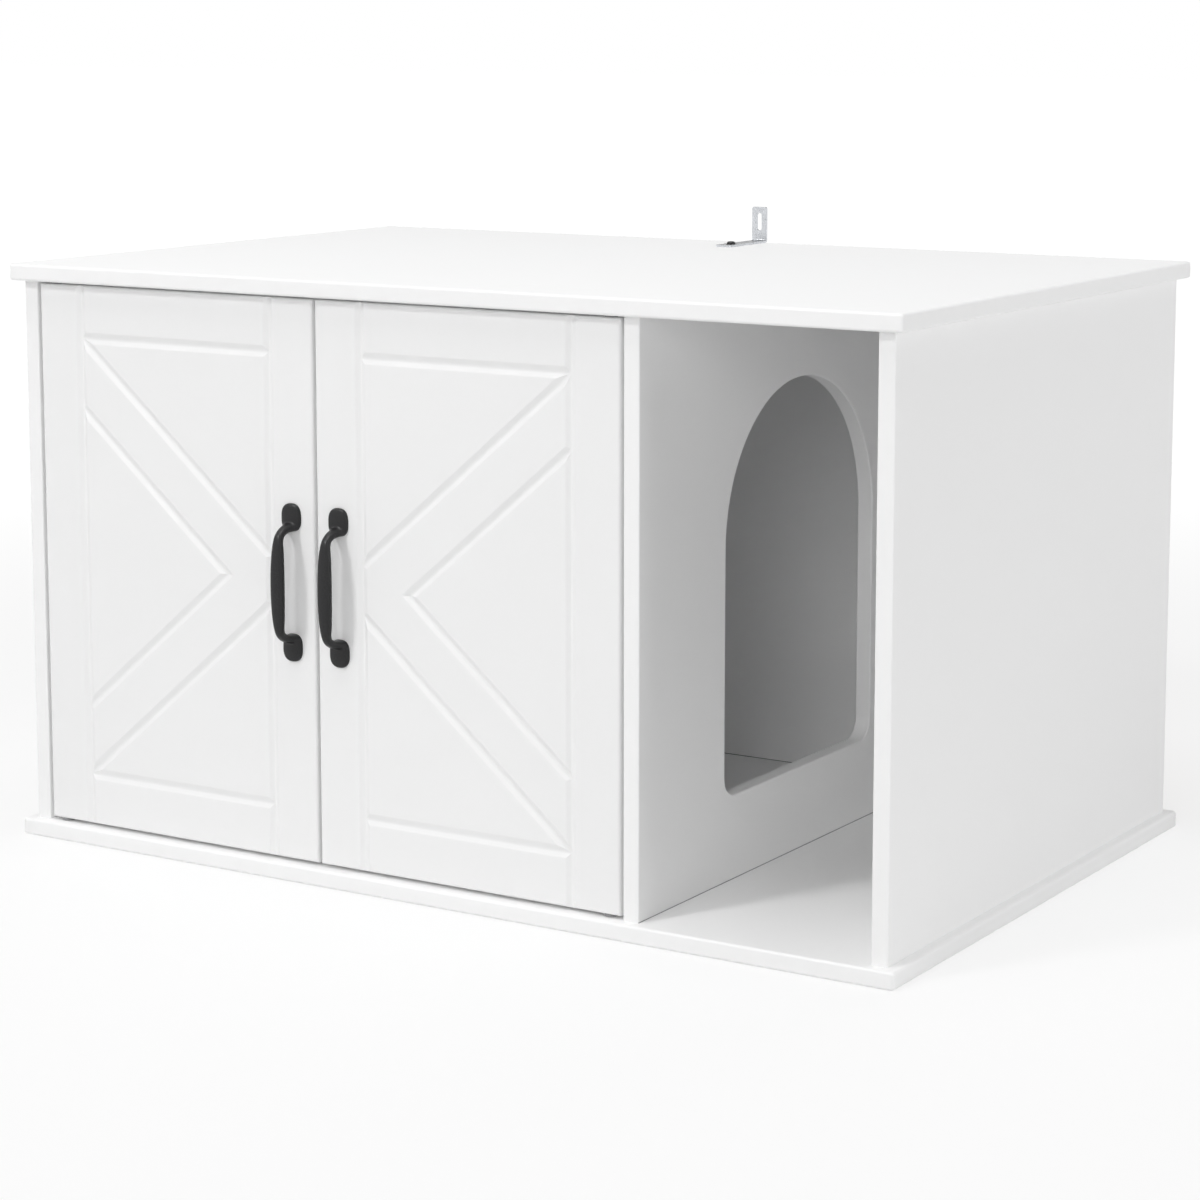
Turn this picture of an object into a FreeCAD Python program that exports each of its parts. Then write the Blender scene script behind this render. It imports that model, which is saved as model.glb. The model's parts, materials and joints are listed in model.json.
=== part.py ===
import FreeCAD, Part
import math
import os

Vector = FreeCAD.Vector

# The origin is at the middle of the bottom board's underside, with +X to the right, +Y to the back and +Z up.

# Boards: the top and bottom boards stand proud of the body all round
cabinet_width = 900.0
cabinet_depth = 590.0
cabinet_height = 530.0
board_thickness = 15.0
board_overhang = 10.0
board_corner_radius = 3.0
board_edge_radius = 2.5
panel_edge_radius = 1.5

# Niche on the right, open at the front, and the arched way through the divider
niche_width = 213.0
arch_width = 271.0
arch_sill = 74.0
arch_head = 75.0
arch_corner_radius = 19.0
arch_edge_chamfer = 1.0

# Thin back panel, slid into grooves in the boards and sides
back_thickness = 4.0
back_recess = 11.0
back_groove_depth = 7.0
back_side_play = 0.2
back_end_play = 0.5

# Doors, set between the boards, flush with the panels' front edges
door_thickness = 15.0
door_gap = 3.0
door_top_gap = 2.5
door_bottom_gap = 3.0
door_edge_radius = 2.5

# Routed pattern on the doors: stiles, rails and two slanted braces
stile_width = 47.5
rail_width = 47.0
brace_width = 48.0
brace_meeting_gap = 43.0
groove_width = 11.0
groove_flank_angle = 30.0
groove_rim_angle = 8.0
groove_shoulder_radius = 4.0
groove_root_radius = 3.0

# Dowels and cam fittings between the upright panels and the boards
joint_inset = 60.0
dowel_spacing = 32.0
dowel_diameter = 8.0
dowel_in_board = 10.0
dowel_in_panel = 20.0
dowel_chamfer = 0.8
cam_diameter = 15.0
cam_depth = 12.0
cam_setback = 24.0
cam_slot_width = 2.0
cam_slot_depth = 2.5
bolt_thread_diameter = 6.0
bolt_thread_length = 10.0
bolt_shank_diameter = 5.0
bolt_bore_diameter = 8.0
bolt_past_cam = 2.0
bolt_head_length = 3.0
bolt_neck_length = 4.0
bolt_neck_diameter = 3.2

# Pivots: a pin in each board turns in a flanged bush in the door's edge
pivot_pin_diameter = 6.0
pivot_pin_in_board = 9.0
pivot_pin_in_door = 12.0
pivot_bush_diameter = 9.0
pivot_bush_end = 2.0
pivot_flange_diameter = 10.5
pivot_running_clearance = 0.05
pivot_flange_clearance = 0.2
door_sweep_clearance = 1.0

# Pull handles, screwed on from behind the doors
handle_length = 139.5
handle_projection = 25.2
handle_foot_width = 20.0
handle_foot_length = 23.3
handle_foot_thickness = 4.0
handle_foot_edge = 2.5
handle_grip_width = 13.8
handle_grip_thickness = 7.2
handle_screw_from_end = 21.75
handle_screw_diameter = 4.0
handle_screw_depth = 7.0
handle_screw_bore_end = 1.0
handle_screw_head_diameter = 8.0
handle_screw_head_height = 2.8

# Corner radii at the outer and the inner end of a handle's foot, as shares of half its width
foot_corner_shares = (0.9, 0.55)

# Stations of the grip from its root to its middle, as shares of: half the screw spacing along the door,
# the rise from the door, the grip's width and thickness, and the lean of the section in right angles
grip_station_shares = (
    (1.03, 0.05, 1.18, 1.25, 1.00),
    (1.01, 0.30, 0.86, 1.10, 0.96),
    (0.97, 0.62, 0.63, 1.00, 0.75),
    (0.90, 0.83, 0.60, 0.96, 0.42),
    (0.78, 0.93, 0.71, 0.95, 0.16),
    (0.50, 0.975, 0.91, 0.98, 0.04),
    (0.00, 1.00, 1.00, 1.00, 0.00),
)

# Corners of the grip's section in its first quarter, as shares of half its width and half its thickness
grip_corner_shares = ((1.00, 0.30), (0.87, 0.72), (0.55, 1.00))

# Twin magnetic catch under the top board, with a steel strike on each door
catch_wall = 2.0
catch_depth = 16.0
catch_height = 14.0
catch_edge_radius = 1.5
catch_air_gap = 0.3
magnet_width = 14.0
magnet_height = 8.0
magnet_depth = 10.0
magnet_proud = 0.5
magnet_offset = 14.0
strike_width = 16.0
strike_length = 24.0
strike_thickness = 1.2
strike_edge_inset = 2.0
strike_corner_radius = 2.0

# Cross recess of a screw head, as shares of the head's diameter, with its floor as a share of its mouth
recess_reach_share = 0.5
recess_width_share = 0.14
recess_depth_share = 0.2
recess_floor_share = 0.45

# Rounding of a pan head, as a share of its height
pan_dome_share = 0.9

# Small countersunk wood screws for the catch and the strikes
wood_screw_diameter = 3.0
wood_screw_head_diameter = 6.0
wood_screw_head_height = 1.0
catch_screw_length = 22.0
strike_screw_length = 11.0

# Wall bracket: a bent strip on the top board at the back, slotted in both legs
bracket_width = 16.0
bracket_thickness = 2.0
bracket_foot_length = 75.0
bracket_height = 35.0
bracket_bend_radius = 1.5
bracket_corner_radius = 2.0
bracket_slot_width = 5.3
bracket_slot_length = 17.5
bracket_slot_from_top = 5.8
bracket_foot_slot_from_tip = 8.0
bracket_screw_diameter = 4.0
bracket_screw_length = 12.0
bracket_screw_head_diameter = 8.5
bracket_screw_head_height = 2.6

# Fits and working allowances
fit_clearance = 0.1
cut_overrun = 1.0
match_tolerance = 0.01
cut_tolerance = 0.001

# Places that follow from the sizes above
panel_bottom = board_thickness
panel_top = cabinet_height - board_thickness
panel_height = panel_top - panel_bottom
body_side = cabinet_width / 2 - board_overhang
body_front = board_overhang - cabinet_depth / 2
body_rear = cabinet_depth / 2 - board_overhang
inner_side = body_side - board_thickness
back_outer_face = body_rear - back_recess
back_inner_face = back_outer_face - back_thickness
arch_height = panel_height - arch_sill - arch_head
divider_right = inner_side - niche_width
divider_left = divider_right - board_thickness
door_opening = divider_left + inner_side
door_width = (door_opening - 3 * door_gap) / 2
door_bottom = panel_bottom + door_bottom_gap
door_top = panel_top - door_top_gap
door_middle = (door_bottom + door_top) / 2
door_back = body_front + door_thickness
meeting_line = (divider_left - inner_side) / 2
handle_screw_spacing = handle_length - 2 * handle_screw_from_end
catch_screw_room = catch_wall + wood_screw_head_diameter / 2
catch_screw_offset = magnet_offset + magnet_width / 2 + catch_screw_room
catch_length = 2 * (catch_screw_offset + catch_screw_room)

# A door turning about a pivot at half its thickness passes the panel beside it with the sweep clearance
pivot_depth = door_thickness / 2
pivot_sweep = door_gap - door_sweep_clearance
pivot_inset = (pivot_depth ** 2 - pivot_sweep ** 2) / (2 * pivot_sweep)
pivot_line = body_front + pivot_depth

up = Vector(0, 0, 1)
right = Vector(1, 0, 0)
back = Vector(0, 1, 0)

drillings = {}
pieces = {}


def block(low, high):
    size = high - low
    return Part.makeBox(size.x, size.y, size.z, low)


def rod(diameter, start, axis, length):
    return Part.makeCylinder(diameter / 2, length, start, axis)


def add_piece(node, solid):
    pieces.setdefault(node, []).append(solid)


def drill(node, tool):
    drillings.setdefault(node, []).append(tool)


def edges_along(shape, axis):
    found = []
    for edge in shape.Edges:
        if len(edge.Vertexes) == 2:
            run = edge.Vertexes[1].Point - edge.Vertexes[0].Point
            if run.cross(axis).Length < match_tolerance:
                found.append(edge)
    return found


def edges_in_plane(shape, axis, place):
    found = []
    for edge in shape.Edges:
        points = edge.discretize(Number=5)
        if all(abs(point.dot(axis) - place) < match_tolerance for point in points):
            found.append(edge)
    return found


def slab_with_round_corners(low, high, axis, corner_radius):
    slab = block(low, high)
    return slab.makeFillet(corner_radius, edges_along(slab, axis))


# Screws: the axis points from the head into the work
def cross_recess(mouth, axis, head_diameter):
    reach = head_diameter * recess_reach_share / 2
    half_width = head_diameter * recess_width_share / 2
    depth = head_diameter * recess_depth_share
    arms = []
    for along in (right, axis.cross(right)):
        across = axis.cross(along) * half_width
        ends = along * reach
        corners = [mouth + ends + across, mouth - ends + across, mouth - ends - across, mouth + ends - across]
        arms.append(Part.Face(Part.makePolygon(corners + corners[:1])).extrude(axis * depth))
    taper = Part.makeCone(reach, reach * recess_floor_share, depth, mouth, axis)
    return arms[0].fuse(arms[1]).common(taper)


def pan_head_screw(head_seat, axis, diameter, length, head_diameter, head_height):
    shank = rod(diameter, head_seat, axis, length)
    head = rod(head_diameter, head_seat, -axis, head_height)
    crown = head_seat - axis * head_height
    head = head.makeFillet(head_height * pan_dome_share, edges_in_plane(head, axis, crown.dot(axis)))
    return shank.fuse(head).cut(cross_recess(crown, axis, head_diameter))


def countersunk_way(head_centre, axis, length, clearance):
    head_radius = wood_screw_head_diameter / 2 + clearance
    shank_radius = wood_screw_diameter / 2 + clearance
    head = Part.makeCone(head_radius, shank_radius, wood_screw_head_height, head_centre, axis)
    return head.fuse(Part.makeCylinder(shank_radius, length, head_centre, axis))


def countersunk_screw(head_centre, axis, length):
    recess = cross_recess(head_centre, axis, wood_screw_head_diameter)
    return countersunk_way(head_centre, axis, length, 0).cut(recess)


# Boards and panels
def covering_board(underside):
    low = Vector(-cabinet_width / 2, -cabinet_depth / 2, underside)
    high = Vector(cabinet_width / 2, cabinet_depth / 2, underside + board_thickness)
    board = slab_with_round_corners(low, high, up, board_corner_radius)
    rims = edges_in_plane(board, up, low.z) + edges_in_plane(board, up, high.z)
    return board.makeFillet(board_edge_radius, rims)


def upright_panel(left_face, rear_face):
    low = Vector(left_face, body_front, panel_bottom)
    high = Vector(left_face + board_thickness, rear_face, panel_top)
    panel = block(low, high)
    front_edges = [e for e in edges_along(panel, up) if abs(e.Vertexes[0].Y - body_front) < match_tolerance]
    return panel.makeFillet(panel_edge_radius, front_edges)


def arch_opening():
    radius = arch_width / 2
    middle = (body_front + back_inner_face) / 2
    sill = panel_bottom + arch_sill
    spring = sill + arch_height - radius
    face = divider_left - cut_overrun
    front_jamb = middle - radius
    rear_jamb = middle + radius
    crown = Part.Arc(
        Vector(face, front_jamb, spring),
        Vector(face, middle, spring + radius),
        Vector(face, rear_jamb, spring),
    )
    rear_side = Part.makeLine(Vector(face, rear_jamb, spring), Vector(face, rear_jamb, sill))
    bottom = Part.makeLine(Vector(face, rear_jamb, sill), Vector(face, front_jamb, sill))
    front_side = Part.makeLine(Vector(face, front_jamb, sill), Vector(face, front_jamb, spring))
    outline = Part.Wire([crown.toShape(), rear_side, bottom, front_side])
    opening = Part.Face(outline).extrude(right * (board_thickness + 2 * cut_overrun))
    corners = [e for e in edges_along(opening, right) if abs(e.Vertexes[0].Z - sill) < match_tolerance]
    return opening.makeFillet(arch_corner_radius, corners)


def arched_divider():
    panel = upright_panel(divider_left, back_inner_face).cut(arch_opening())
    rims = []
    for face in (divider_left, divider_right):
        for edge in edges_in_plane(panel, right, face):
            box = edge.BoundBox
            in_panel = box.ZMin > panel_bottom + match_tolerance and box.ZMax < panel_top - match_tolerance
            if in_panel:
                rims.append(edge)
    return panel.makeChamfer(arch_edge_chamfer, rims)


def back_groove(low_reach, high_reach):
    low = Vector(low_reach.x, back_inner_face - back_side_play, low_reach.z)
    high = Vector(high_reach.x, back_outer_face + back_side_play, high_reach.z)
    return block(low, high)


def add_back_panel():
    reach = back_groove_depth - back_end_play
    low = Vector(-inner_side - reach, back_inner_face, panel_bottom - reach)
    high = Vector(inner_side + reach, back_outer_face, panel_top + reach)
    add_piece("back_panel", block(low, high))
    cut = back_groove_depth
    low_cut = Vector(-inner_side - cut, 0, panel_bottom - cut)
    high_cut = Vector(inner_side + cut, 0, panel_top + cut)
    for node in ("left_side_panel", "right_side_panel", "bottom_panel", "top_panel"):
        drill(node, back_groove(low_cut, high_cut))


def add_boards():
    add_piece("bottom_panel", covering_board(0))
    add_piece("top_panel", covering_board(panel_top))
    add_piece("left_side_panel", upright_panel(-body_side, body_rear))
    add_piece("right_side_panel", upright_panel(inner_side, body_rear))
    add_piece("divider_panel", arched_divider())
    add_back_panel()


# Joints between the upright panels and the boards
def join_with_dowel(panel, board, place, axis):
    start = place - axis * dowel_in_panel
    length = dowel_in_panel + dowel_in_board
    bore = rod(dowel_diameter + 2 * fit_clearance, start, axis, length)
    dowel = rod(dowel_diameter, start, axis, length)
    rims = [edge for edge in dowel.Edges if edge.isClosed()]
    add_piece("dowels", dowel.makeChamfer(dowel_chamfer, rims))
    drill(panel, bore)
    drill(board, bore)


def cam_lock(centre, inward, axis):
    disc = rod(cam_diameter - 2 * fit_clearance, centre, inward, cam_depth - fit_clearance)
    seat = centre + inward * (board_thickness / 2) - axis * (bolt_past_cam + fit_clearance)
    bolt_way = rod(bolt_shank_diameter + 2 * fit_clearance, seat, axis, cam_diameter)
    across = axis.cross(inward)
    slot_half = (axis + across) * (cam_slot_width / 2)
    slot_reach = (axis - across) * cam_diameter
    corners = [centre + slot_half + slot_reach, centre - slot_half + slot_reach]
    corners += [centre - slot_half - slot_reach, centre + slot_half - slot_reach]
    slot = Part.Face(Part.makePolygon(corners + corners[:1])).extrude(inward * cam_slot_depth)
    return disc.cut([bolt_way, slot])


def join_with_cam(panel, board, place, axis, face, inward):
    centre = place - axis * cam_setback
    centre = Vector(face, centre.y, centre.z)
    bolt_end = place - axis * (cam_setback + bolt_past_cam)
    neck_end = bolt_head_length + bolt_neck_length
    shank_length = cam_setback + bolt_past_cam - neck_end
    head = rod(bolt_shank_diameter, bolt_end, axis, bolt_head_length)
    neck = rod(bolt_neck_diameter, bolt_end, axis, neck_end)
    shank = rod(bolt_shank_diameter, bolt_end + axis * neck_end, axis, shank_length)
    thread = rod(bolt_thread_diameter, place, axis, bolt_thread_length)
    add_piece("cam_bolts", head.fuse([neck, shank, thread]))
    add_piece("cam_locks", cam_lock(centre, inward, axis))
    drill(panel, rod(cam_diameter, centre, inward, cam_depth))
    drill(panel, rod(bolt_bore_diameter, place - axis * cam_setback, axis, cam_setback))
    drill(board, rod(bolt_thread_diameter + 2 * fit_clearance, place, axis, bolt_thread_length))


def join_uprights():
    uprights = (
        ("left_side_panel", -body_side, body_rear, -inner_side, -right),
        ("right_side_panel", inner_side, body_rear, inner_side, right),
        ("divider_panel", divider_left, back_inner_face, divider_left, right),
    )
    ends = (("bottom_panel", panel_bottom, -up), ("top_panel", panel_top, up))
    for panel, left_face, rear_face, cam_face, inward in uprights:
        middle = left_face + board_thickness / 2
        for board, level, axis in ends:
            for end, towards_middle in ((body_front, 1), (rear_face, -1)):
                cam_line = end + towards_middle * joint_inset
                dowel_line = cam_line + towards_middle * dowel_spacing
                join_with_cam(panel, board, Vector(middle, cam_line, level), axis, cam_face, inward)
                join_with_dowel(panel, board, Vector(middle, dowel_line, level), axis)


# Doors
def groove(start, end):
    run = end - start
    direction = Vector(run).normalize()
    across = back.cross(direction)
    flank = math.radians(groove_flank_angle)
    rim = math.radians(groove_rim_angle)

    def at(side, depth):
        return start + across * side + back * depth

    def shoulder(angle):
        side = groove_width / 2 - groove_shoulder_radius * (math.sin(angle) - math.sin(rim))
        return side, groove_shoulder_radius * (math.cos(rim) - math.cos(angle))

    flank_top, flank_top_depth = shoulder(flank)
    shoulder_side, shoulder_depth = shoulder((rim + flank) / 2)
    flank_foot = groove_root_radius * math.sin(flank)
    flank_foot_depth = flank_top_depth + (flank_top - flank_foot) * math.tan(flank)
    root_depth = flank_foot_depth + groove_root_radius * (1 - math.cos(flank))
    edges = []
    for side in (1, -1):
        rim_point = at(side * groove_width / 2, 0)
        shoulder_point = at(side * shoulder_side, shoulder_depth)
        top_point = at(side * flank_top, flank_top_depth)
        edges.append(Part.makeLine(at(side * groove_width / 2, -cut_overrun), rim_point))
        edges.append(Part.Arc(rim_point, shoulder_point, top_point).toShape())
        edges.append(Part.makeLine(top_point, at(side * flank_foot, flank_foot_depth)))
    foot = at(flank_foot, flank_foot_depth)
    other_foot = at(-flank_foot, flank_foot_depth)
    edges.append(Part.Arc(foot, at(0, root_depth), other_foot).toShape())
    edges.append(Part.makeLine(at(groove_width / 2, -cut_overrun), at(-groove_width / 2, -cut_overrun)))
    section = Part.Face(Part.Wire(Part.__sortEdges__(edges)))
    return section.extrude(run)


def door_grooves(place):
    hinge_stile = stile_width
    meeting_stile = door_width - stile_width
    low_rail = door_bottom + rail_width
    high_rail = door_top - rail_width
    field = meeting_stile - hinge_stile
    fall = high_rail - door_middle - brace_meeting_gap / 2
    brace_rise = brace_width * math.hypot(field, fall) / field
    inner_start = high_rail - brace_rise
    apex = hinge_stile + (inner_start - door_middle) * field / fall
    past_apex = apex + groove_width
    past_middle = (past_apex - apex) * fall / field
    tools = []
    for stile in (hinge_stile, meeting_stile):
        tools.append(groove(place(stile, door_bottom - cut_overrun), place(stile, door_top + cut_overrun)))
    for rail, towards_middle in ((low_rail, 1), (high_rail, -1)):
        meeting = door_middle - towards_middle * brace_meeting_gap / 2
        tools.append(groove(place(hinge_stile, rail), place(meeting_stile, rail)))
        tools.append(groove(place(hinge_stile, rail), place(meeting_stile, meeting)))
        inner = groove(
            place(hinge_stile, rail + towards_middle * brace_rise),
            place(past_apex, door_middle + towards_middle * past_middle),
        )
        low = Vector(-cabinet_width, body_front - door_thickness, min(rail, door_middle))
        high = Vector(cabinet_width, body_front + door_thickness, max(rail, door_middle))
        tools.append(inner.common(block(low, high)))
    return tools


def door_blank(hinge_side, meeting_side):
    low = Vector(min(hinge_side, meeting_side), body_front, door_bottom)
    high = Vector(max(hinge_side, meeting_side), door_back, door_top)
    blank = block(low, high)
    return blank.makeFillet(door_edge_radius, edges_in_plane(blank, back, body_front))


def add_pivot(door, bush, board, pivot_x, board_face, door_edge, axis):
    centre = Vector(pivot_x, pivot_line, board_face)
    edge = Vector(pivot_x, pivot_line, door_edge)
    gap = abs(door_edge - board_face)
    pin_length = pivot_pin_in_board + gap + pivot_pin_in_door
    pin_start = centre - axis * pivot_pin_in_board
    bush_length = pivot_pin_in_door + pivot_bush_end
    flange_thickness = gap - pivot_flange_clearance
    flange = rod(pivot_flange_diameter, edge - axis * flange_thickness, axis, flange_thickness)
    barrel = rod(pivot_bush_diameter, edge, axis, bush_length)
    running_bore = rod(
        pivot_pin_diameter + 2 * pivot_running_clearance,
        edge - axis * gap,
        axis,
        gap + pivot_pin_in_door + fit_clearance,
    )
    add_piece("pivot_pins", rod(pivot_pin_diameter, pin_start, axis, pin_length))
    add_piece(bush, flange.fuse(barrel).cut(running_bore))
    drill(board, rod(pivot_pin_diameter + 2 * fit_clearance, pin_start, axis, pivot_pin_in_board))
    drill(door, rod(pivot_bush_diameter + 2 * fit_clearance, edge, axis, bush_length))


# Handles
def grip_section(handle_x, station, end):
    along_share, rise_share, width_share, thickness_share, lean_share = station
    grip_rise = handle_projection - handle_grip_thickness / 2
    along = end * along_share * handle_screw_spacing / 2
    centre = Vector(handle_x, body_front - rise_share * grip_rise, door_middle + along)
    lean = lean_share * math.pi / 2
    half_width = right * (width_share * handle_grip_width / 2)
    half_thickness = Vector(0, -math.cos(lean), end * math.sin(lean))
    half_thickness *= thickness_share * handle_grip_thickness / 2
    corners = []
    for turn, quarter in enumerate(((1, 1), (-1, 1), (-1, -1), (1, -1))):
        shares = grip_corner_shares if turn % 2 == 0 else grip_corner_shares[::-1]
        for width_part, thickness_part in shares:
            across = half_width * (quarter[0] * width_part)
            through = half_thickness * (quarter[1] * thickness_part)
            corners.append(centre + across + through)
    return Part.makePolygon(corners + corners[:1])


def handle_grip(handle_x):
    sections = [grip_section(handle_x, station, 1) for station in grip_station_shares]
    sections += [grip_section(handle_x, station, -1) for station in grip_station_shares[-2::-1]]
    return Part.makeLoft(sections, True, False)


def handle_foot(handle_x, end):
    outer = end * handle_length / 2
    inner = end * (handle_length / 2 - handle_foot_length)
    low = Vector(handle_x - handle_foot_width / 2, body_front - handle_foot_thickness, min(outer, inner))
    high = Vector(handle_x + handle_foot_width / 2, body_front, max(outer, inner))
    foot = block(low, high)
    for level, share in zip((outer, inner), foot_corner_shares):
        corners = [e for e in edges_along(foot, back) if abs(e.Vertexes[0].Z - level) < match_tolerance]
        foot = foot.makeFillet(share * handle_foot_width / 2, corners)
    foot = foot.makeFillet(handle_foot_edge, edges_in_plane(foot, back, low.y))
    foot.translate(up * door_middle)
    return foot


def add_handle(side, door, handle_x):
    body = handle_grip(handle_x).fuse([handle_foot(handle_x, 1), handle_foot(handle_x, -1)])
    bores = []
    for end in (1, -1):
        level = door_middle + end * handle_screw_spacing / 2
        head_seat = Vector(handle_x, door_back, level)
        bore_diameter = handle_screw_diameter + 2 * fit_clearance
        bore_length = door_thickness + handle_screw_depth + handle_screw_bore_end
        bore = rod(bore_diameter, head_seat, -back, bore_length)
        screw = pan_head_screw(
            head_seat,
            -back,
            handle_screw_diameter,
            door_thickness + handle_screw_depth,
            handle_screw_head_diameter,
            handle_screw_head_height,
        )
        add_piece(side + "_handle_screws", screw)
        drill(door, bore)
        bores.append(bore)
    add_piece(side + "_door_handle", body.cut(bores))


# Catch and strikes
def add_strike(side, door, towards_middle):
    middle = meeting_line - towards_middle * magnet_offset
    top = door_top - strike_edge_inset
    low = Vector(middle - strike_width / 2, door_back, top - strike_length)
    high = Vector(middle + strike_width / 2, door_back + strike_thickness, top)
    plate = slab_with_round_corners(low, high, back, strike_corner_radius)
    screw_level = low.z + strike_width / 2
    head_centre = Vector(middle, high.y, screw_level)
    way = countersunk_way(head_centre, -back, strike_screw_length, fit_clearance)
    add_piece(side + "_strike_plate", plate.cut(way))
    add_piece(side + "_strike_screw", countersunk_screw(head_centre, -back, strike_screw_length))
    drill(door, way)


def add_catch():
    pole_face = door_back + strike_thickness + catch_air_gap
    front = pole_face + magnet_proud
    underside = panel_top - catch_height
    low = Vector(meeting_line - catch_length / 2, front, underside)
    high = Vector(meeting_line + catch_length / 2, front + catch_depth, panel_top)
    body = block(low, high)
    lower_edges = edges_in_plane(body, up, underside)
    body = body.makeFillet(catch_edge_radius, lower_edges)
    pockets = []
    magnet_low = underside + (catch_height - magnet_height) / 2
    for side in (-1, 1):
        middle = meeting_line + side * magnet_offset
        corner = Vector(middle - magnet_width / 2, pole_face, magnet_low)
        opposite = Vector(middle + magnet_width / 2, pole_face + magnet_depth, magnet_low + magnet_height)
        magnet = block(corner, opposite)
        add_piece("catch_magnets", magnet)
        pockets.append(magnet)
        head_centre = Vector(meeting_line + side * catch_screw_offset, front + catch_depth / 2, underside)
        way = countersunk_way(head_centre, up, catch_screw_length, fit_clearance)
        add_piece("catch_screws", countersunk_screw(head_centre, up, catch_screw_length))
        pockets.append(way)
        drill("top_panel", way)
    add_piece("catch_body", body.cut(pockets))


def add_door(side, hinge_face, towards_meeting):
    door = side + "_door_panel"

    def place(from_hinge, level):
        return Vector(hinge_face + towards_meeting * (door_gap + from_hinge), body_front, level)

    hinge_side = place(0, door_bottom).x
    meeting_side = place(door_width, door_bottom).x
    add_piece(door, door_blank(hinge_side, meeting_side))
    for tool in door_grooves(place):
        drill(door, tool)
    pivot_x = place(pivot_inset, door_bottom).x
    add_pivot(door, side + "_lower_bush", "bottom_panel", pivot_x, panel_bottom, door_bottom, up)
    add_pivot(door, side + "_upper_bush", "top_panel", pivot_x, panel_top, door_top, -up)
    add_handle(side, door, place(door_width - stile_width / 2, door_middle).x)
    add_strike(side, door, towards_meeting)


# Wall bracket
def long_slot(centre, along, across, through, depth):
    straight = (bracket_slot_length - bracket_slot_width) / 2
    half = bracket_slot_width / 2
    start = centre - through * cut_overrun
    ends = []
    for sign in (1, -1):
        cap = start + along * (sign * straight)
        points = (cap + across * (sign * half), cap + along * (sign * half), cap - across * (sign * half))
        ends.append(points)
    first, second = ends
    edges = [
        Part.Arc(*first).toShape(),
        Part.makeLine(first[2], second[0]),
        Part.Arc(*second).toShape(),
        Part.makeLine(second[2], first[0]),
    ]
    return Part.Face(Part.Wire(edges)).extrude(through * (depth + 2 * cut_overrun))


def bracket_strip():
    low = cabinet_height
    thick = bracket_thickness
    rear = cabinet_depth / 2
    tip = rear - bracket_foot_length
    crest = low + bracket_height
    side = -bracket_width / 2
    outer = bracket_bend_radius + thick
    half_turn_share = 1 - math.cos(math.pi / 4)
    outer_lean = outer * half_turn_share
    inner_lean = thick + bracket_bend_radius * half_turn_share

    def at(y, z):
        return Vector(side, y, z)

    inner_turn = thick + bracket_bend_radius
    edges = [
        Part.makeLine(at(tip, low), at(rear - outer, low)),
        Part.Arc(
            at(rear - outer, low),
            at(rear - outer_lean, low + outer_lean),
            at(rear, low + outer),
        ).toShape(),
        Part.makeLine(at(rear, low + outer), at(rear, crest)),
        Part.makeLine(at(rear, crest), at(rear - thick, crest)),
        Part.makeLine(at(rear - thick, crest), at(rear - thick, low + inner_turn)),
        Part.Arc(
            at(rear - thick, low + inner_turn),
            at(rear - inner_lean, low + inner_lean),
            at(rear - inner_turn, low + thick),
        ).toShape(),
        Part.makeLine(at(rear - inner_turn, low + thick), at(tip, low + thick)),
        Part.makeLine(at(tip, low + thick), at(tip, low)),
    ]
    strip = Part.Face(Part.Wire(edges)).extrude(right * bracket_width)
    tip_corners = [e for e in edges_along(strip, up) if abs(e.Vertexes[0].Y - tip) < match_tolerance]
    crest_corners = [e for e in edges_along(strip, back) if abs(e.Vertexes[0].Z - crest) < match_tolerance]
    return strip.makeFillet(bracket_corner_radius, tip_corners + crest_corners)


def add_bracket():
    rear = cabinet_depth / 2
    crest = cabinet_height + bracket_height
    tip = rear - bracket_foot_length
    half_slot = bracket_slot_length / 2
    wall_slot = Vector(0, rear, crest - bracket_slot_from_top - half_slot)
    foot_slot = Vector(0, tip + bracket_foot_slot_from_tip + half_slot, cabinet_height)
    slots = [
        long_slot(wall_slot, up, right, -back, bracket_thickness),
        long_slot(foot_slot, back, right, up, bracket_thickness),
    ]
    add_piece("wall_bracket", bracket_strip().cut(slots))
    head_seat = Vector(0, foot_slot.y, cabinet_height + bracket_thickness)
    screw = pan_head_screw(
        head_seat,
        -up,
        bracket_screw_diameter,
        bracket_screw_length,
        bracket_screw_head_diameter,
        bracket_screw_head_height,
    )
    add_piece("bracket_screw", screw)
    bore = rod(bracket_screw_diameter + 2 * fit_clearance, head_seat, -up, bracket_screw_length)
    drill("top_panel", bore)


add_boards()
join_uprights()
add_door("left", -inner_side, 1)
add_door("right", divider_left, -1)
add_catch()
add_bracket()

os.makedirs("parts", exist_ok=True)
for node, solids in pieces.items():
    cuts = drillings.get(node, [])
    if cuts:
        solids = [solid.cut(cuts, cut_tolerance) for solid in solids]
    shape = solids[0] if len(solids) == 1 else Part.makeCompound(solids)
    shape.exportStep("parts/" + node + ".step")
    state = "valid" if shape.isValid() else "not valid"
    print(node, len(shape.Solids), "solids", round(shape.Volume), "mm3", state)
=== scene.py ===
import json
import math

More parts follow.
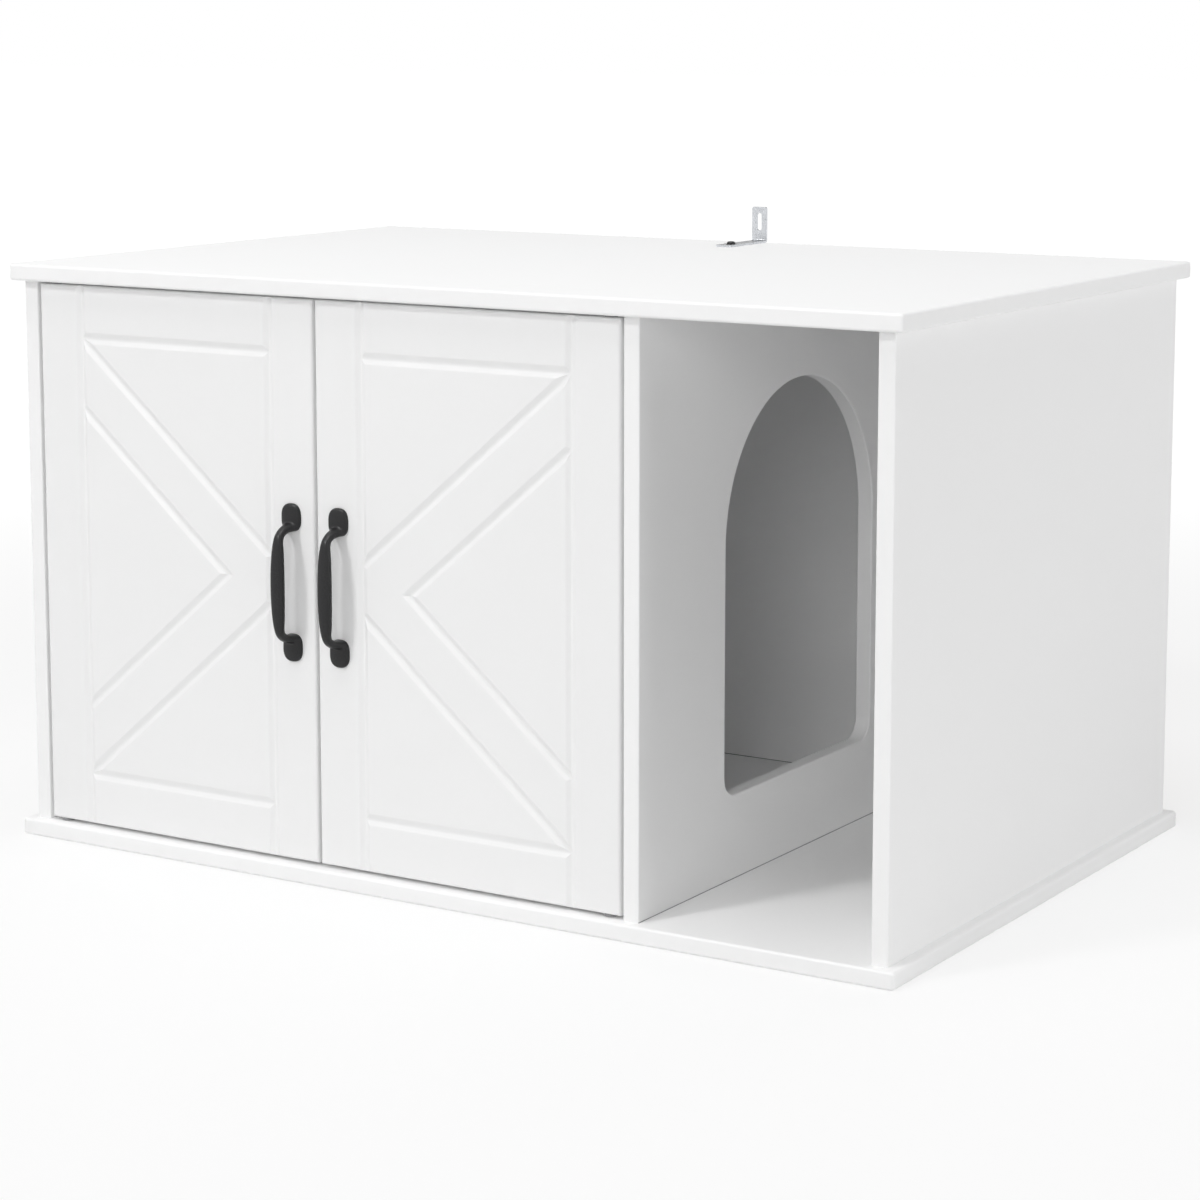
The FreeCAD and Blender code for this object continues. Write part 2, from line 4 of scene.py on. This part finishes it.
import bmesh
import bpy
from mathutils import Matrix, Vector


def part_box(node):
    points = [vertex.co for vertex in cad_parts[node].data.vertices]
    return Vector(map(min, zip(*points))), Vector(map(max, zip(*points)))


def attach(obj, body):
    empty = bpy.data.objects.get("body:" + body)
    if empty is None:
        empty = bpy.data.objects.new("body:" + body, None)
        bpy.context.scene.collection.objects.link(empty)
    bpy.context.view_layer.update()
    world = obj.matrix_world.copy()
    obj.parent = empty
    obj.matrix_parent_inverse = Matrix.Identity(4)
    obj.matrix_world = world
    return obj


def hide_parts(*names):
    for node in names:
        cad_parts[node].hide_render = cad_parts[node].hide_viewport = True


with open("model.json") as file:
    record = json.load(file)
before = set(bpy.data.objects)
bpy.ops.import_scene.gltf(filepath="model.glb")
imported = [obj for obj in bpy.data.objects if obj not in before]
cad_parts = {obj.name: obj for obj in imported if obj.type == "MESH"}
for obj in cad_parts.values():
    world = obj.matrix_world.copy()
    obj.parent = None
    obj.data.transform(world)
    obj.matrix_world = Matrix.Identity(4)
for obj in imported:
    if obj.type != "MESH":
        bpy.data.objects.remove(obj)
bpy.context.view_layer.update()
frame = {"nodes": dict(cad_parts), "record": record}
nodes = frame["nodes"]
slotOfNode = {part["node"]: part["material_slot"] for part in frame["record"]["subparts"]}


class Sock:  # a shader socket that can stand in a Python expression
    def __init__(self, shading, socket):
        self.shading = shading
        self.socket = socket

    def maths(self, operation, *values):
        return self.shading.node("ShaderNodeMath", {"operation": operation}, dict(enumerate(values)))

    def __add__(self, other):
        return self.maths("ADD", self, other)

    def __radd__(self, other):
        return self.maths("ADD", other, self)

    def __sub__(self, other):
        return self.maths("SUBTRACT", self, other)

    def __rsub__(self, other):
        return self.maths("SUBTRACT", other, self)

    def __mul__(self, other):
        return self.maths("MULTIPLY", self, other)

    def __rmul__(self, other):
        return self.maths("MULTIPLY", other, self)


class Shading:  # a node tree whose nodes all come from one method
    def __init__(self, owner):
        owner.use_nodes = True
        self.tree = owner.node_tree

    def feed(self, target, values):
        for key, value in values.items():
            if isinstance(value, Sock):
                self.tree.links.new(value.socket, target.inputs[key])
            else:
                target.inputs[key].default_value = value

    def node(self, kind, settings=None, values=None, output=0):
        made = self.tree.nodes.new(kind)
        for key, value in (settings or {}).items():
            setattr(made, key, value)
        self.feed(made, values or {})
        return Sock(self, made.outputs[output])

    def place(self):
        return self.node("ShaderNodeTexCoord", output="Object")

    def facing(self):
        return self.node("ShaderNodeTexCoord", output="Normal")

    def along(self, vector, axis):
        return self.node("ShaderNodeSeparateXYZ", values={0: vector}, output=axis)

    def stretched(self, shares):
        return self.node("ShaderNodeVectorMath", {"operation": "MULTIPLY"}, {0: self.place(), 1: shares})

    def noise(self, grainSize, detail=2, shares=(1, 1, 1)):
        values = {"Vector": self.stretched(shares), "Scale": 1 / grainSize, "Detail": detail}
        return self.node("ShaderNodeTexNoise", values=values)

    def drift(self, noise, amount):  # a noise that swings about zero
        return (noise - 0.5) * amount

    def cellTone(self, cellSize):  # one value for each cell
        values = {"Vector": self.place(), "Scale": 1 / cellSize}
        return self.along(self.node("ShaderNodeTexVoronoi", values=values, output="Color"), 0)

    def fade(self, value, start, end):
        values = {"Value": value, "From Min": start, "From Max": end}
        return self.node("ShaderNodeMapRange", {"interpolation_type": "SMOOTHSTEP"}, values)

    def blend(self, share, first, second):
        values = {0: share, 6: first, 7: second}
        return self.node("ShaderNodeMix", {"data_type": "RGBA"}, values, output=2)

    def bump(self, height, depth):
        return self.node("ShaderNodeBump", values={"Height": height, "Distance": depth, "Strength": 1.0})

    def seen(self):  # 1 for what the camera, a reflection or a clear piece shows
        camera = self.node("ShaderNodeLightPath", output="Is Camera Ray")
        glossy = self.node("ShaderNodeLightPath", output="Is Glossy Ray")
        through = self.node("ShaderNodeLightPath", output="Is Transmission Ray")
        return camera.maths("MAXIMUM", camera, camera.maths("MAXIMUM", glossy, through))


class Finish(Shading):  # a surface finish: a material with one main shader
    def __init__(self, name):
        self.material = bpy.data.materials.new(name)
        super().__init__(self.material)
        self.shader = self.tree.nodes["Principled BSDF"]

    def seam(self, joint, clear):  # painted shadow line: 1 at the height of a joint, 0 from the height where its shadow ends
        return self.fade(self.along(self.place(), 2), clear, joint)

    def surface(self, **values):
        self.feed(self.shader, {key.replace("_", " "): value for key, value in values.items()})


# White boards: melamine faces with a fine pearl, smoother bands on the edges, and where asked painted
# shadow lines along a panel's joints
boardLook = {
    "tone": (0.898, 0.898, 0.898, 1),
    "paleTone": (0.912, 0.912, 0.912, 1),
    "bandTone": (0.906, 0.906, 0.906, 1),
    "cloudSize": 0.16,
    "cloudDetail": 3,
    "pearlSize": 0.0011,
    "pearlDepth": 0.00003,
    "roughness": 0.50,
    "bandRoughness": 0.40,
    "roughnessDrift": 0.08,
    "specular": 0.28,
    "faceTurn": (0.35, 0.65),  # squared slant where the edge bands end and where the faces begin
    # a dark tone painted as the shadow in the joints between panels, and the width of that painted shadow
    "paintedShadowTone": (0.16, 0.16, 0.165, 1),
    "paintedShadowWidth": 0.0012,
}


def makeWhiteBoard(name, faceAxis, paintedShadowNode=None):
    finish = Finish(name)
    clouds = finish.noise(boardLook["cloudSize"], boardLook["cloudDetail"])
    pearl = finish.noise(boardLook["pearlSize"])
    slant = finish.along(finish.facing(), faceAxis)
    flat = finish.fade(slant * slant, *boardLook["faceTurn"])  # 1 on the faces, 0 on the edge bands
    faceTone = finish.blend(clouds, boardLook["tone"], boardLook["paleTone"])
    tone = finish.blend(flat, boardLook["bandTone"], faceTone)
    # painted shadow: dark lines on the faces where this panel meets the boards above and below
    if paintedShadowNode:
        low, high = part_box(paintedShadowNode)
        width = boardLook["paintedShadowWidth"]
        paintedJointShadows = finish.seam(low.z, low.z + width) + finish.seam(high.z, high.z - width)
        tone = finish.blend(paintedJointShadows * flat, tone, boardLook["paintedShadowTone"])
    finish.surface(
        Base_Color=tone,
        Roughness=boardLook["bandRoughness"]
        + flat * (boardLook["roughness"] - boardLook["bandRoughness"])
        + finish.drift(clouds, boardLook["roughnessDrift"]),
        Normal=finish.bump(pearl * flat, boardLook["pearlDepth"]),
        Specular_IOR_Level=boardLook["specular"],
    )
    return finish.material


# Door fronts: foil drawn over routed fibreboard, satin, with a faint orange peel
doorLook = {
    "tone": (0.862, 0.862, 0.862, 1),
    "paleTone": (0.876, 0.876, 0.876, 1),
    "cloudSize": 0.11,
    "cloudDetail": 3,
    "peelSize": 0.0026,
    "peelDetail": 1,
    "peelDepth": 0.00003,
    "roughness": 0.46,
    "roughnessDrift": 0.1,
    "specular": 0.28,
}


def makeDoorFoil():
    finish = Finish("doorFoil")
    clouds = finish.noise(doorLook["cloudSize"], doorLook["cloudDetail"])
    peel = finish.noise(doorLook["peelSize"], doorLook["peelDetail"])
    finish.surface(
        Base_Color=finish.blend(clouds, doorLook["tone"], doorLook["paleTone"]),
        Roughness=doorLook["roughness"] + finish.drift(clouds, doorLook["roughnessDrift"]),
        Normal=finish.bump(peel, doorLook["peelDepth"]),
        Specular_IOR_Level=doorLook["specular"],
    )
    return finish.material


# Back panel: white lacquer towards the room inside, raw pressed fibre behind
backLook = {
    "lacquer": (0.93, 0.93, 0.93, 1),
    "fibre": (0.33, 0.205, 0.115, 1),
    "paleFibre": (0.46, 0.315, 0.195, 1),
    "fleck": (0.20, 0.115, 0.06, 1),
    "fibreSize": 0.004,
    "fibreDetail": 4,
    "uprightShares": (1, 1, 0.35),
    "crossingShares": (0.3, 1, 1),
    "fleckSize": 0.0016,
    "fleckRange": (0.62, 0.74),
    "fleckShare": 0.6,
    "fibreDepth": 0.00008,
    "lacquerDepthShare": 0.15,
    "lacquerRoughness": 0.40,
    "fibreRoughness": 0.72,
    "roughnessDrift": 0.12,
}


def makeBackBoard():
    finish = Finish("backBoard")
    low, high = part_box("back_panel")
    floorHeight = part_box("bottom_panel")[1].z
    raw = finish.fade(finish.along(finish.place(), 1), (low.y + high.y) / 2, high.y)
    fibres = finish.noise(backLook["fibreSize"], backLook["fibreDetail"], backLook["uprightShares"])
    crossing = finish.noise(backLook["fibreSize"], backLook["fibreDetail"], backLook["crossingShares"])
    flecks = finish.fade(finish.noise(backLook["fleckSize"]), *backLook["fleckRange"])
    rawTone = finish.blend((fibres + crossing) * 0.5, backLook["fibre"], backLook["paleFibre"])
    rawTone = finish.blend(flecks * backLook["fleckShare"], rawTone, backLook["fleck"])
    tone = finish.blend(raw, backLook["lacquer"], rawTone)
    # painted shadow: a dark line where the back panel meets the bottom board
    seam = finish.seam(floorHeight, floorHeight + boardLook["paintedShadowWidth"])
    depthShare = backLook["lacquerDepthShare"]
    relief = (fibres + crossing) * (depthShare + raw * (1 - depthShare))
    finish.surface(
        Base_Color=finish.blend(seam, tone, boardLook["paintedShadowTone"]),
        Roughness=backLook["lacquerRoughness"]
        + raw * (backLook["fibreRoughness"] - backLook["lacquerRoughness"])
        + finish.drift(fibres, backLook["roughnessDrift"]),
        Normal=finish.bump(relief, backLook["fibreDepth"]),
    )
    return finish.material


# Handles: cast iron under a matt black coat with a fine grain
ironLook = {
    "tone": (0.0075, 0.0075, 0.008, 1),
    "paleTone": (0.016, 0.016, 0.017, 1),
    "paleRange": (0.35, 0.75),
    "grainSize": 0.0009,
    "grainDetail": 3,
    "grainDepth": 0.00003,
    "castSize": 0.006,
    "roughness": 0.36,
    "grainDrift": 0.16,
    "castDrift": 0.1,
    "specular": 0.36,
}


def makeBlackIron(name):
    finish = Finish(name)
    grain = finish.noise(ironLook["grainSize"], ironLook["grainDetail"])
    cast = finish.noise(ironLook["castSize"])
    pale = finish.fade(grain, *ironLook["paleRange"])
    finish.surface(
        Base_Color=finish.blend(pale, ironLook["tone"], ironLook["paleTone"]),
        Roughness=ironLook["roughness"]
        + finish.drift(grain, ironLook["grainDrift"])
        + finish.drift(cast, ironLook["castDrift"]),
        Normal=finish.bump(grain + cast, ironLook["grainDepth"]),
        Specular_IOR_Level=ironLook["specular"],
    )
    return finish.material


# Galvanised strip: zinc crystals a few millimetres across, with painted shade that darkens it where it
# faces up
stripLook = {
    "tone": (0.56, 0.575, 0.60, 1),
    "paleTone": (0.66, 0.675, 0.70, 1),
    # a near-black tone painted as shade on the faces that look up
    "paintedShadeTone": (0.09, 0.093, 0.098, 1),
    "paintedShadeShare": 0.9,
    "upwardRange": (0.3, 0.9),
    "spangleSize": 0.0045,
    "spangleShare": 0.7,
    "spangleDrift": 0.14,
    "scratchSize": 0.0012,
    "scratchShares": (1, 0.06, 0.06),
    "scratchDepth": 0.00002,
    "scratchDrift": 0.1,
    "roughness": 0.30,
}


def makeZincStrip():
    finish = Finish("zincStrip")
    spangle = finish.cellTone(stripLook["spangleSize"])
    scratches = finish.noise(stripLook["scratchSize"], shares=stripLook["scratchShares"])
    upward = finish.fade(finish.along(finish.facing(), 2), *stripLook["upwardRange"])
    pattern = spangle * stripLook["spangleShare"] + scratches * (1 - stripLook["spangleShare"])
    unshadedZinc = finish.blend(pattern, stripLook["tone"], stripLook["paleTone"])
    finish.surface(
        # painted shade: the colour darkens where the strip faces up
        Base_Color=finish.blend(upward * stripLook["paintedShadeShare"], unshadedZinc, stripLook["paintedShadeTone"]),
        Roughness=stripLook["roughness"]
        + finish.drift(spangle, stripLook["spangleDrift"])
        + finish.drift(scratches, stripLook["scratchDrift"]),
        Metallic=1.0,
        Normal=finish.bump(scratches, stripLook["scratchDepth"]),
    )
    return finish.material


# Fittings: die-cast zinc and plated steel
fittingLook = {
    "zincFitting": {
        "tone": (0.48, 0.48, 0.49, 1),
        "paleTone": (0.60, 0.60, 0.60, 1),
        "grainSize": 0.0012,
        "stainSize": 0.0072,
        "roughness": 0.42,
    },
    "platedSteel": {
        "tone": (0.58, 0.58, 0.57, 1),
        "paleTone": (0.68, 0.68, 0.66, 1),
        "grainSize": 0.0007,
        "stainSize": 0.0042,
        "roughness": 0.26,
    },
    "grainDetail": 3,
    "grainDepth": 0.00003,
    "grainDrift": 0.16,
}


def makeFitting(name):
    look = fittingLook[name]
    finish = Finish(name)
    grain = finish.noise(look["grainSize"], fittingLook["grainDetail"])
    stain = finish.noise(look["stainSize"])
    finish.surface(
        Base_Color=finish.blend(stain, look["tone"], look["paleTone"]),
        Roughness=look["roughness"] + finish.drift(grain, fittingLook["grainDrift"]),
        Metallic=1.0,
        Normal=finish.bump(grain, fittingLook["grainDepth"]),
    )
    return finish.material


# Dowels: beech with short dark pores along the grain
beechLook = {
    "tone": (0.56, 0.37, 0.21, 1),
    "paleTone": (0.68, 0.49, 0.31, 1),
    "pore": (0.36, 0.21, 0.11, 1),
    "ringSize": 0.003,
    "ringDetail": 3,
    "ringShares": (1, 1, 0.12),
    "poreSize": 0.0009,
    "poreShares": (1, 1, 0.1),
    "poreRange": (0.62, 0.7),
    "poreShare": 0.7,
    "grainDepth": 0.00006,
    "roughness": 0.58,
    "ringDrift": 0.15,
}


def makeBeech():
    finish = Finish("beech")
    rings = finish.noise(beechLook["ringSize"], beechLook["ringDetail"], beechLook["ringShares"])
    pores = finish.noise(beechLook["poreSize"], shares=beechLook["poreShares"])
    pores = finish.fade(pores, *beechLook["poreRange"])
    wood = finish.blend(rings, beechLook["tone"], beechLook["paleTone"])
    finish.surface(
        Base_Color=finish.blend(pores * beechLook["poreShare"], wood, beechLook["pore"]),
        Roughness=beechLook["roughness"] + finish.drift(rings, beechLook["ringDrift"]),
        Normal=finish.bump(rings - pores, beechLook["grainDepth"]),
    )
    return finish.material


# Moulded plastics: grey nylon bushes and the white catch housing
plasticLook = {
    "nylon": {
        "tone": (0.25, 0.25, 0.255, 1),
        "paleTone": (0.30, 0.30, 0.305, 1),
        "grainSize": 0.0008,
        "flowSize": 0.0112,
        "roughness": 0.40,
    },
    "catchPlastic": {
        "tone": (0.83, 0.83, 0.82, 1),
        "paleTone": (0.86, 0.86, 0.85, 1),
        "grainSize": 0.0005,
        "flowSize": 0.007,
        "roughness": 0.46,
    },
    "grainDepth": 0.00003,
    "grainDrift": 0.12,
}


def makePlastic(name):
    look = plasticLook[name]
    finish = Finish(name)
    grain = finish.noise(look["grainSize"])
    flow = finish.noise(look["flowSize"])
    finish.surface(
        Base_Color=finish.blend(flow, look["tone"], look["paleTone"]),
        Roughness=look["roughness"] + finish.drift(grain, plasticLook["grainDrift"]),
        Normal=finish.bump(grain, plasticLook["grainDepth"]),
    )
    return finish.material


# Catch magnets: sintered ferrite, dark and slightly speckled
magnetLook = {
    "tone": (0.045, 0.045, 0.048, 1),
    "paleTone": (0.10, 0.10, 0.105, 1),
    "paleRange": (0.4, 0.7),
    "glintRange": (0.3, 0.9),
    "glintShare": 0.5,
    "grainSize": 0.0006,
    "grainDetail": 4,
    "grainDepth": 0.00003,
    "grainDrift": 0.2,
    "roughness": 0.48,
}


def makeMagnet():
    finish = Finish("magnet")
    grain = finish.noise(magnetLook["grainSize"], magnetLook["grainDetail"])
    pale = finish.fade(grain, *magnetLook["paleRange"])
    finish.surface(
        Base_Color=finish.blend(pale, magnetLook["tone"], magnetLook["paleTone"]),
        Roughness=magnetLook["roughness"] + finish.drift(grain, magnetLook["grainDrift"]),
        Metallic=finish.fade(grain, *magnetLook["glintRange"]) * magnetLook["glintShare"],
        Normal=finish.bump(grain, magnetLook["grainDepth"]),
    )
    return finish.material


finishOfSlot = {
    "white_board": makeWhiteBoard("uprightBoard", 0),
    "white_door": makeDoorFoil(),
    "back_board": makeBackBoard(),
    "black_iron": makeBlackIron("blackIron"),
    "zinc_strip": makeZincStrip(),
    "zinc_fitting": makeFitting("zincFitting"),
    "plated_screw": makeFitting("platedSteel"),
    "black_screw": makeBlackIron("blackScrew"),
    "beech": makeBeech(),
    "nylon": makePlastic("nylon"),
    "catch_plastic": makePlastic("catchPlastic"),
    "magnet": makeMagnet(),
}
flatBoard = makeWhiteBoard("flatBoard", 2)
finishOfNode = {
    "top_panel": flatBoard,
    "bottom_panel": flatBoard,
    "divider_panel": makeWhiteBoard("dividerBoard", 0, "divider_panel"),
}

for name, piece in nodes.items():
    piece.data.materials.clear()
    piece.data.materials.append(finishOfNode.get(name, finishOfSlot[slotOfNode[name]]))
finishesUsed = {piece.data.materials[0].name for piece in nodes.values()}
print("finishes:", len(finishesUsed), "on", len(nodes), "nodes")


# Pull handles: a flared neck rises from each domed foot into a grip that swells at its middle
handle = {
    "footLength": 0.0233,
    "footRim": 0.0022,
    "footCrown": 0.0042,
    "footRoundness": (2.5, 3.6),  # powers of the outline at the outer and the inner end
    "footWallShare": 0.7,
    "domeShares": (0.97, 0.9, 0.75, 0.5, 0.2),
    "gripWidth": 0.0138,
    "gripThickness": 0.0072,
    "rootFromEnd": 0.02175,
    # each section's place along the door, rise from it, width, thickness and lean as shares,
    # and the power of its outline
    "stations": (
        (1.03, -0.08, 1.22, 1.28, 1.00, 2.2),
        (1.03, 0.10, 1.16, 1.22, 1.00, 2.2),
        (1.02, 0.25, 0.94, 1.12, 0.98, 2.2),
        (1.00, 0.45, 0.72, 1.03, 0.92, 2.3),
        (0.965, 0.65, 0.62, 0.99, 0.72, 2.4),
        (0.90, 0.83, 0.60, 0.96, 0.42, 2.5),
        (0.80, 0.92, 0.68, 0.95, 0.18, 2.6),
        (0.64, 0.955, 0.83, 0.97, 0.06, 2.7),
        (0.45, 0.98, 0.93, 0.99, 0.03, 2.7),
        (0.22, 0.995, 0.985, 1.00, 0.01, 2.7),
        (0.00, 1.00, 1.00, 1.00, 0.00, 2.7),
    ),
    "stationSteps": 6,
    "loopPoints": 48,
    "voxel": 0.0008,
    "smoothing": 8,
    "smoothingShare": 0.5,
    "creaseAngle": 60,
}


def roundLoop(halfWidth, halfLength, powers):
    loop = []
    for step in range(handle["loopPoints"]):
        turn = 2 * math.pi * step / handle["loopPoints"]
        across, along = math.cos(turn), math.sin(turn)
        share = 2 / (powers[0] if along > 0 else powers[1])
        loop.append((
            math.copysign(abs(across) ** share, across) * halfWidth,
            math.copysign(abs(along) ** share, along) * halfLength,
        ))
    return loop


def joinRings(mesh, rings):
    made = [[mesh.verts.new(point) for point in ring] for ring in rings]
    for first, second in zip(made, made[1:]):
        for step in range(len(first)):
            following = (step + 1) % len(first)
            mesh.faces.new((first[step], first[following], second[following], second[step]))
    mesh.faces.new(made[0][::-1])
    mesh.faces.new(made[-1])


def smoothStations():  # both halves of the handle, with a smooth curve through the sections
    upper = list(handle["stations"])
    lower = [
        (-along, rise, width, thick, -lean, power)
        for along, rise, width, thick, lean, power in upper[-2::-1]
    ]
    row = upper[:1] + upper + lower + lower[-1:]
    made = []
    for a, b, c, d in zip(row, row[1:], row[2:], row[3:]):
        for step in range(handle["stationSteps"]):
            t = step / handle["stationSteps"]
            made.append([
                q + 0.5 * t * (r - p + t * (2 * p - 5 * q + 4 * r - s + t * (3 * (q - r) + s - p)))
                for p, q, r, s in zip(a, b, c, d)
            ])
    return made + [row[-1]]


def addGrip(mesh, low, high):
    rise = high.y - low.y - handle["gripThickness"] / 2
    reach = (high.z - low.z) / 2 - handle["rootFromEnd"]
    middle = (low + high) / 2
    halfWidth = handle["gripWidth"] / 2
    halfThickness = handle["gripThickness"] / 2
    rings = []
    for along, riseShare, width, thick, lean, power in smoothStations():
        centre = Vector((middle.x, high.y - riseShare * rise, middle.z + along * reach))
        outward = Vector((0, -math.cos(lean * math.pi / 2), math.sin(lean * math.pi / 2)))
        loop = roundLoop(width * halfWidth, thick * halfThickness, (power, power))
        rings.append([centre + Vector((across, 0, 0)) + outward * through for across, through in loop])
    joinRings(mesh, rings)


def addFoot(mesh, low, high, end):
    rim = handle["footRim"]
    dome = handle["footCrown"] - rim
    halfWidth = (high.x - low.x) / 2
    halfLength = handle["footLength"] / 2
    height = high.z - halfLength if end > 0 else low.z + halfLength
    centre = Vector((low.x + halfWidth, high.y, height))
    profile = [(1.0, -rim), (1.0, rim * handle["footWallShare"])]
    profile += [(share, rim + dome * math.sqrt(1 - share * share)) for share in handle["domeShares"]]
    rings = []
    for share, rise in profile:
        loop = roundLoop(halfWidth * share, halfLength * share, handle["footRoundness"])
        rings.append([centre + Vector((across, -rise, along * end)) for across, along in loop])
    joinRings(mesh, rings)


def addHandle(node, body):
    low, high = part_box(node)
    mesh = bmesh.new()
    addGrip(mesh, low, high)
    addFoot(mesh, low, high, 1)
    addFoot(mesh, low, high, -1)
    bmesh.ops.recalc_face_normals(mesh, faces=mesh.faces)
    rough = bpy.data.meshes.new(node)
    mesh.to_mesh(rough)
    mesh.free()
    piece = bpy.data.objects.new(node + "_cast", rough)
    bpy.context.scene.collection.objects.link(piece)
    remesh = piece.modifiers.new("cast", "REMESH")  # melts grip and feet into one skin
    remesh.mode = "VOXEL"
    remesh.voxel_size = handle["voxel"]
    soften = piece.modifiers.new("soften", "SMOOTH")
    soften.factor = handle["smoothingShare"]
    soften.iterations = handle["smoothing"]
    shaped = bpy.data.meshes.new_from_object(piece.evaluated_get(bpy.context.evaluated_depsgraph_get()))
    piece.modifiers.clear()
    piece.data = shaped
    mesh = bmesh.new()
    mesh.from_mesh(shaped)
    everything = mesh.verts[:] + mesh.edges[:] + mesh.faces[:]
    bmesh.ops.bisect_plane(mesh, geom=everything, plane_co=high, plane_no=(0, 1, 0), clear_outer=True)
    bmesh.ops.holes_fill(mesh, edges=[edge for edge in mesh.edges if edge.is_boundary])
    mesh.to_mesh(shaped)
    mesh.free()
    shaped.shade_smooth()
    shaped.set_sharp_from_angle(angle=math.radians(handle["creaseAngle"]))
    shaped.materials.clear()
    shaped.materials.append(finishOfSlot["black_iron"])
    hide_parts(node)
    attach(piece, body)
    return len(shaped.polygons)


handleFaces = [addHandle(side + "_door_handle", side + "_door") for side in ("left", "right")]
print("handles:", handleFaces, "faces")


# Studio: a white room for the camera and for reflections, with soft lamps round the cabinet
studio = {
    "aim": (0.0, 0.0, 0.26),
    "roomLight": 0.18,
    "floorTone": (0.80, 0.80, 0.80, 1),
    "floorSpan": 60.0,
    "floorDrop": 0.0004,
    "floorWhite": 1.03,
    "floorLift": 0.72,  # share of the floor's white that no shadow dims
    "liftStart": 0.9,
    "liftEnd": 2.6,
    "bounces": 28,  # light finds its way into the white niche and chamber
}
# a lamp without sheen lights the boards but leaves no gloss on them
lamps = {
    "keyLamp": {"towards": (-0.29, -0.73, 0.63), "away": 5.0, "span": 0.8, "power": 70.0, "sheen": True},
    "deepLamp": {"towards": (0.35, -1.0, 0.36), "away": 8.0, "span": 3.5, "power": 135.0, "sheen": False},
    "topLamp": {"towards": (0.0, -0.25, 1.0), "away": 4.5, "span": 3.0, "power": 92.0, "sheen": True},
    "rightLamp": {"towards": (0.95, 0.10, 0.12), "away": 5.0, "span": 3.0, "power": 82.0, "sheen": True},
    "leftLamp": {"towards": (-0.95, 0.12, 0.30), "away": 5.0, "span": 3.0, "power": 24.0, "sheen": True},
    "backLamp": {"towards": (0.10, 0.95, 0.35), "away": 5.0, "span": 3.0, "power": 36.0, "sheen": False},
}


def addLamp(name, look):
    light = bpy.data.lights.new(name, "AREA")
    light.shape = "DISK"
    light.size = look["span"]
    light.energy = look["power"]
    lamp = bpy.data.objects.new(name, light)
    direction = Vector(look["towards"]).normalized()
    lamp.location = Vector(studio["aim"]) + direction * look["away"]
    lamp.rotation_euler = direction.to_track_quat("Z", "Y").to_euler()
    lamp.visible_glossy = look["sheen"]
    bpy.context.scene.collection.objects.link(lamp)


def addRoom():
    world = bpy.data.worlds.new("studioRoom")
    bpy.context.scene.world = world
    shading = Shading(world)
    backdrop = shading.tree.nodes["Background"]
    strength = studio["roomLight"] + shading.seen() * (1 - studio["roomLight"])
    shading.feed(backdrop, {"Color": (1, 1, 1, 1), "Strength": strength})


def addFloor():
    half = studio["floorSpan"] / 2
    mesh = bpy.data.meshes.new("studioFloor")
    corners = [(-half, -half, 0), (half, -half, 0), (half, half, 0), (-half, half, 0)]
    mesh.from_pydata(corners, [], [(0, 1, 2, 3)])
    floor = bpy.data.objects.new("studioFloor", mesh)
    floor.location.z = -studio["floorDrop"]
    bpy.context.scene.collection.objects.link(floor)
    material = bpy.data.materials.new("studioFloor")
    shading = Shading(material)
    place = shading.place()
    distance = shading.node("ShaderNodeVectorMath", {"operation": "LENGTH"}, {0: place}, output="Value")
    far = shading.fade(distance, studio["liftStart"], studio["liftEnd"])
    lift = shading.seen() * (studio["floorLift"] + far * (1 - studio["floorLift"]))
    matt = shading.node("ShaderNodeBsdfDiffuse", values={"Color": studio["floorTone"]})
    glow = {"Color": (1, 1, 1, 1), "Strength": studio["floorWhite"]}
    white = shading.node("ShaderNodeEmission", values=glow)
    mixed = shading.node("ShaderNodeMixShader", values={0: lift, 1: matt, 2: white})
    shading.feed(shading.tree.nodes["Material Output"], {"Surface": mixed})
    mesh.materials.append(material)


for name, look in lamps.items():
    addLamp(name, look)
addRoom()
addFloor()
bpy.context.scene.view_settings.view_transform = "Standard"
bpy.context.scene.cycles.max_bounces = studio["bounces"]
bpy.context.scene.cycles.diffuse_bounces = studio["bounces"]
print("studio:", len(lamps), "lamps and a floor")


# Camera: in front on the right, a little above the top board and tilted down slightly
view = {
    "place": (1.5004, -2.4127, 0.7560),
    "turn": 31.923,
    "tilt": 8.089,
    "lens": 93.85,
    "sensor": 36.0,
    "shiftY": -0.12,
    "farLimit": 200.0,
}


def addCamera():
    data = bpy.data.cameras.new("studioCamera")
    data.sensor_width = view["sensor"]
    data.lens = view["lens"]
    data.shift_y = view["shiftY"]
    data.clip_end = view["farLimit"]
    camera = bpy.data.objects.new("studioCamera", data)
    camera.location = view["place"]
    camera.rotation_euler = (math.radians(90 - view["tilt"]), 0, math.radians(view["turn"]))
    bpy.context.scene.collection.objects.link(camera)
    bpy.context.scene.camera = camera


addCamera()
print("camera:", view["lens"], "mm lens")
